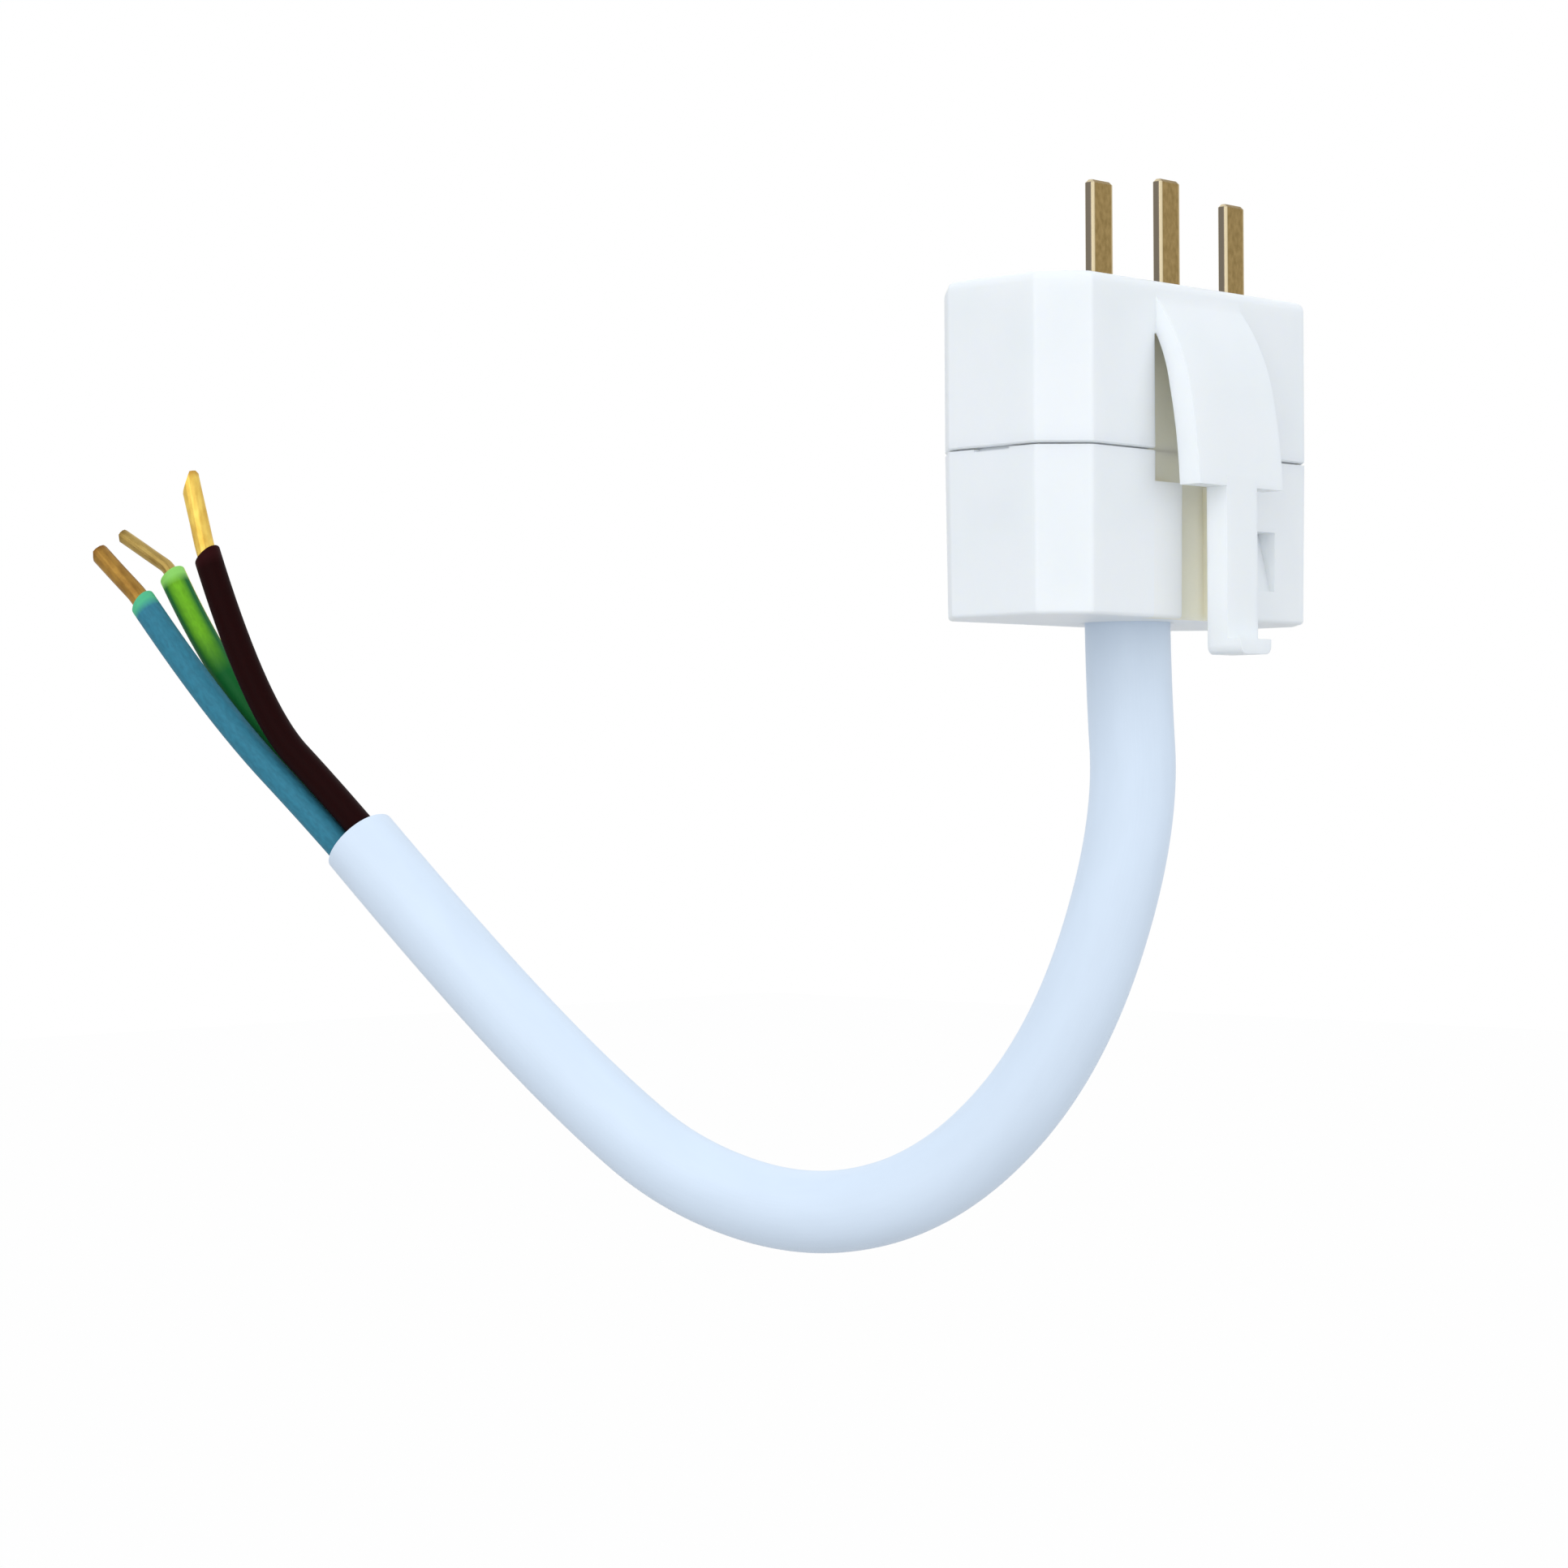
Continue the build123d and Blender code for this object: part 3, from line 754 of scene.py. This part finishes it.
def painted_floor(settings):
    """A painted board that looks white and keeps the object's faint shadow."""
    bm = bmesh.new()
    bmesh.ops.create_grid(bm, x_segments=1, y_segments=1, size=FLOOR_REACH)
    bmesh.ops.translate(bm, vec=(0, 0, -settings.drop), verts=bm.verts)
    mesh = bpy.data.meshes.new("floor")
    bm.to_mesh(mesh)
    bm.free()
    material, tree = new_material("painted_board")
    paint = node(tree, "BsdfDiffuse", {"Color": rgba(settings.floor)})
    glow = node(tree, "Emission", {"Color": (1, 1, 1, 1), "Strength": 1.0})
    share = node(tree, "Math", {"operation": "MULTIPLY", 1: FLOOR_WHITE},
                 {0: seen_white(tree)})
    mix = node(tree, "MixShader",
               links={0: share.outputs[0], 1: paint.outputs[0], 2: glow.outputs[0]})
    node(tree, "OutputMaterial", links={"Surface": mix.outputs[0]})
    mesh.materials.append(material)
    return bpy.data.objects.new("floor", mesh)


def lamp(name, offset, width, power):
    """A soft square lamp that faces the object."""
    light = bpy.data.lights.new(name, "AREA")
    light.shape = "SQUARE"
    light.size = width
    light.energy = power
    holder = bpy.data.objects.new(name, light)
    holder.location = LAMPED_SPOT + offset
    holder.rotation_euler = (-offset).to_track_quat("-Z", "Y").to_euler()
    return holder


def picture_camera(up):
    """The camera at the picture's place."""
    lens = bpy.data.cameras.new("camera")
    lens.lens = LENS
    lens.sensor_width = SENSOR
    lens.clip_start = 0.01
    lens.clip_end = 20
    camera = bpy.data.objects.new("camera", lens)
    across = RIGHT * cos(CAMERA_ROLL) + up * sin(CAMERA_ROLL)
    above = up * cos(CAMERA_ROLL) - RIGHT * sin(CAMERA_ROLL)
    turn = Matrix((across, above, -AHEAD)).transposed().to_4x4()
    camera.matrix_world = Matrix.Translation(CAMERA_SPOT) @ turn
    return camera


# Operators


class PLUG_OT_cable_sheath(bpy.types.Operator):
    """Draws the white sheath from inside the housing to its cut end"""
    bl_idname = "plug.cable_sheath"
    bl_label = "Cable sheath"

    def execute(self, context):
        cable = context.scene.plug_cable
        line = centre_line([place(*spot) for spot in ROUTE])
        headings = directions(line)
        bm = bmesh.new()
        first, lie = start_ring(bm, line[0], headings[0], cable.diameter / 2, SHEATH_SIDES)
        mouth, travel = sweep(bm, first, line, lie)
        inner = pull(bm, mouth, shrink(line[-1], cable.bore / cable.diameter), lie, travel)
        for vert in verts_of(mouth + inner):
            x, y, _ = vert[lie]
            vert.co += headings[-1] * cable.ragged * (x * y * 1.4 + 0.5 * x - 0.3 * y)
        rim = list(inner)
        last, _ = sweep(bm, inner, line[::-1], lie, travel=travel, way=-1)
        bmesh.ops.bridge_loops(bm, edges=first + last)
        round_rim(bm, mouth + rim, SHEATH_ROUNDING)
        material = sheath_pvc("pvc_sheath_white", cable.sheath, cable.diameter / 2)
        piece = finish_piece("sheath", bm, material)
        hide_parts("cable_sheath")
        return {"FINISHED"}


class PLUG_OT_cores(bpy.types.Operator):
    """Draws the three insulated cores and their bare copper ends"""
    bl_idname = "plug.cores"
    bl_label = "Cores"

    def execute(self, context):
        cores = context.scene.plug_cores
        radius = cores.diameter / 2
        # Colour of each core and of its cut end, then how glossy it is.
        skins = {"live": (cores.brown, cores.brown_cut, 0.04),
                 "neutral": (cores.blue, cores.blue_cut, 0.15),
                 "earth": (cores.green, cores.green_cut, 0.15)}
        # The earth core's deep green, partly painted shade beside its painted highlight, and its
        # yellow stripe.
        painted_shade_and_stripe = {"earth": (cores.deep_green_shade, cores.yellow)}
        for name, shade in COLOURS.items():
            points = core_route(name)
            line = centre_line(points)
            pvc = core_pvc("pvc_core_" + shade, *skins[name], radius, length_of(line),
                           *painted_shade_and_stripe.get(name, ()))
            skin = insulation(name, line, radius, pvc)
            wire = cores.earth_wire if name == "earth" else cores.wire
            bare = wire_route(name, points)
            copper = bare_copper("copper_strands_" + name, *map(linear, COPPER[name]),
                                 wire / 2, length_of(bare))
            strands = bare_end(name, bare, wire, cores.strands, copper)
            clamped = clamped_end(name, wire / 2, copper)
            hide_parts(shade + "_core")
            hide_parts(name + "_conductor")
            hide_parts(name + "_conductor")
        return {"FINISHED"}


class PLUG_OT_housing(bpy.types.Operator):
    """Gives the two moulded halves and the clamp bar their satin white"""
    bl_idname = "plug.housing"
    bl_label = "Housing"

    def execute(self, context):
        white = moulded_abs("moulded_abs_white", context.scene.plug_housing)
        for name in ("pin_side_shell", "cable_side_cover", "cord_clamp_bar"):
            dress(name, white)
        return {"FINISHED"}


class PLUG_OT_blades(bpy.types.Operator):
    """Gives the blades, terminals and screws their metals"""
    bl_idname = "plug.blades"
    bl_label = "Blades and terminals"

    def execute(self, context):
        brass = stamped_brass("stamped_brass", context.scene.plug_blades)
        sawn = plain_metal("sawn_brass", linear("#B08D4C"), 0.34, 0.3 * MM)
        steel = plain_metal("zinc_plated_steel", linear("#B9BEC2"), 0.3, 0.25 * MM)
        for name in COLOURS:
            dress(name + "_blade", brass)
            dress(name + "_terminal", sawn)
            dress(name + "_terminal_screw", steel)
        dress("clamp_screws", steel)
        return {"FINISHED"}


class PLUG_OT_stage(bpy.types.Operator):
    """Sets the floor, the soft light and the camera"""
    bl_idname = "plug.stage"
    bl_label = "Stage"

    def execute(self, context):
        scene = context.scene
        settings = scene.plug_stage
        link = scene.collection.objects.link
        scene.world = soft_room(settings.light)
        floor = painted_floor(settings)
        link(floor)
        up = RIGHT.cross(AHEAD)
        for name, ((ahead, right, above), width, power) in LAMPS.items():
            link(lamp(name, AHEAD * ahead + RIGHT * right + up * above, width, power))
        scene.camera = picture_camera(up)
        link(scene.camera)
        scene.view_settings.view_transform = "Standard"
        return {"FINISHED"}


class PLUG_PT_sidebar(bpy.types.Panel):
    """Lists the steps and the settings"""
    bl_idname = "PLUG_PT_sidebar"
    bl_label = "Ceiling light plug"
    bl_space_type = "VIEW_3D"
    bl_region_type = "UI"
    bl_category = "Plug"

    def draw(self, context):
        for operator in OPERATORS:
            self.layout.operator(operator.bl_idname)
        for key, group in SETTINGS.items():
            box = self.layout.box()
            for field in group.__annotations__:
                box.prop(getattr(context.scene, key), field)


OPERATORS = (PLUG_OT_cable_sheath, PLUG_OT_cores, PLUG_OT_housing, PLUG_OT_blades,
             PLUG_OT_stage)
CLASSES = (*SETTINGS.values(), *OPERATORS, PLUG_PT_sidebar)


def register():
    for item in CLASSES:
        bpy.utils.register_class(item)
    for key, group in SETTINGS.items():
        setattr(bpy.types.Scene, key, PointerProperty(type=group))


def unregister():
    for key in SETTINGS:
        delattr(bpy.types.Scene, key)
    for item in reversed(CLASSES):
        bpy.utils.unregister_class(item)


def main():
    register()
    bpy.ops.plug.cable_sheath()
    bpy.ops.plug.cores()
    bpy.ops.plug.housing()
    bpy.ops.plug.blades()
    bpy.ops.plug.stage()


if __name__ == "__main__":
    main()
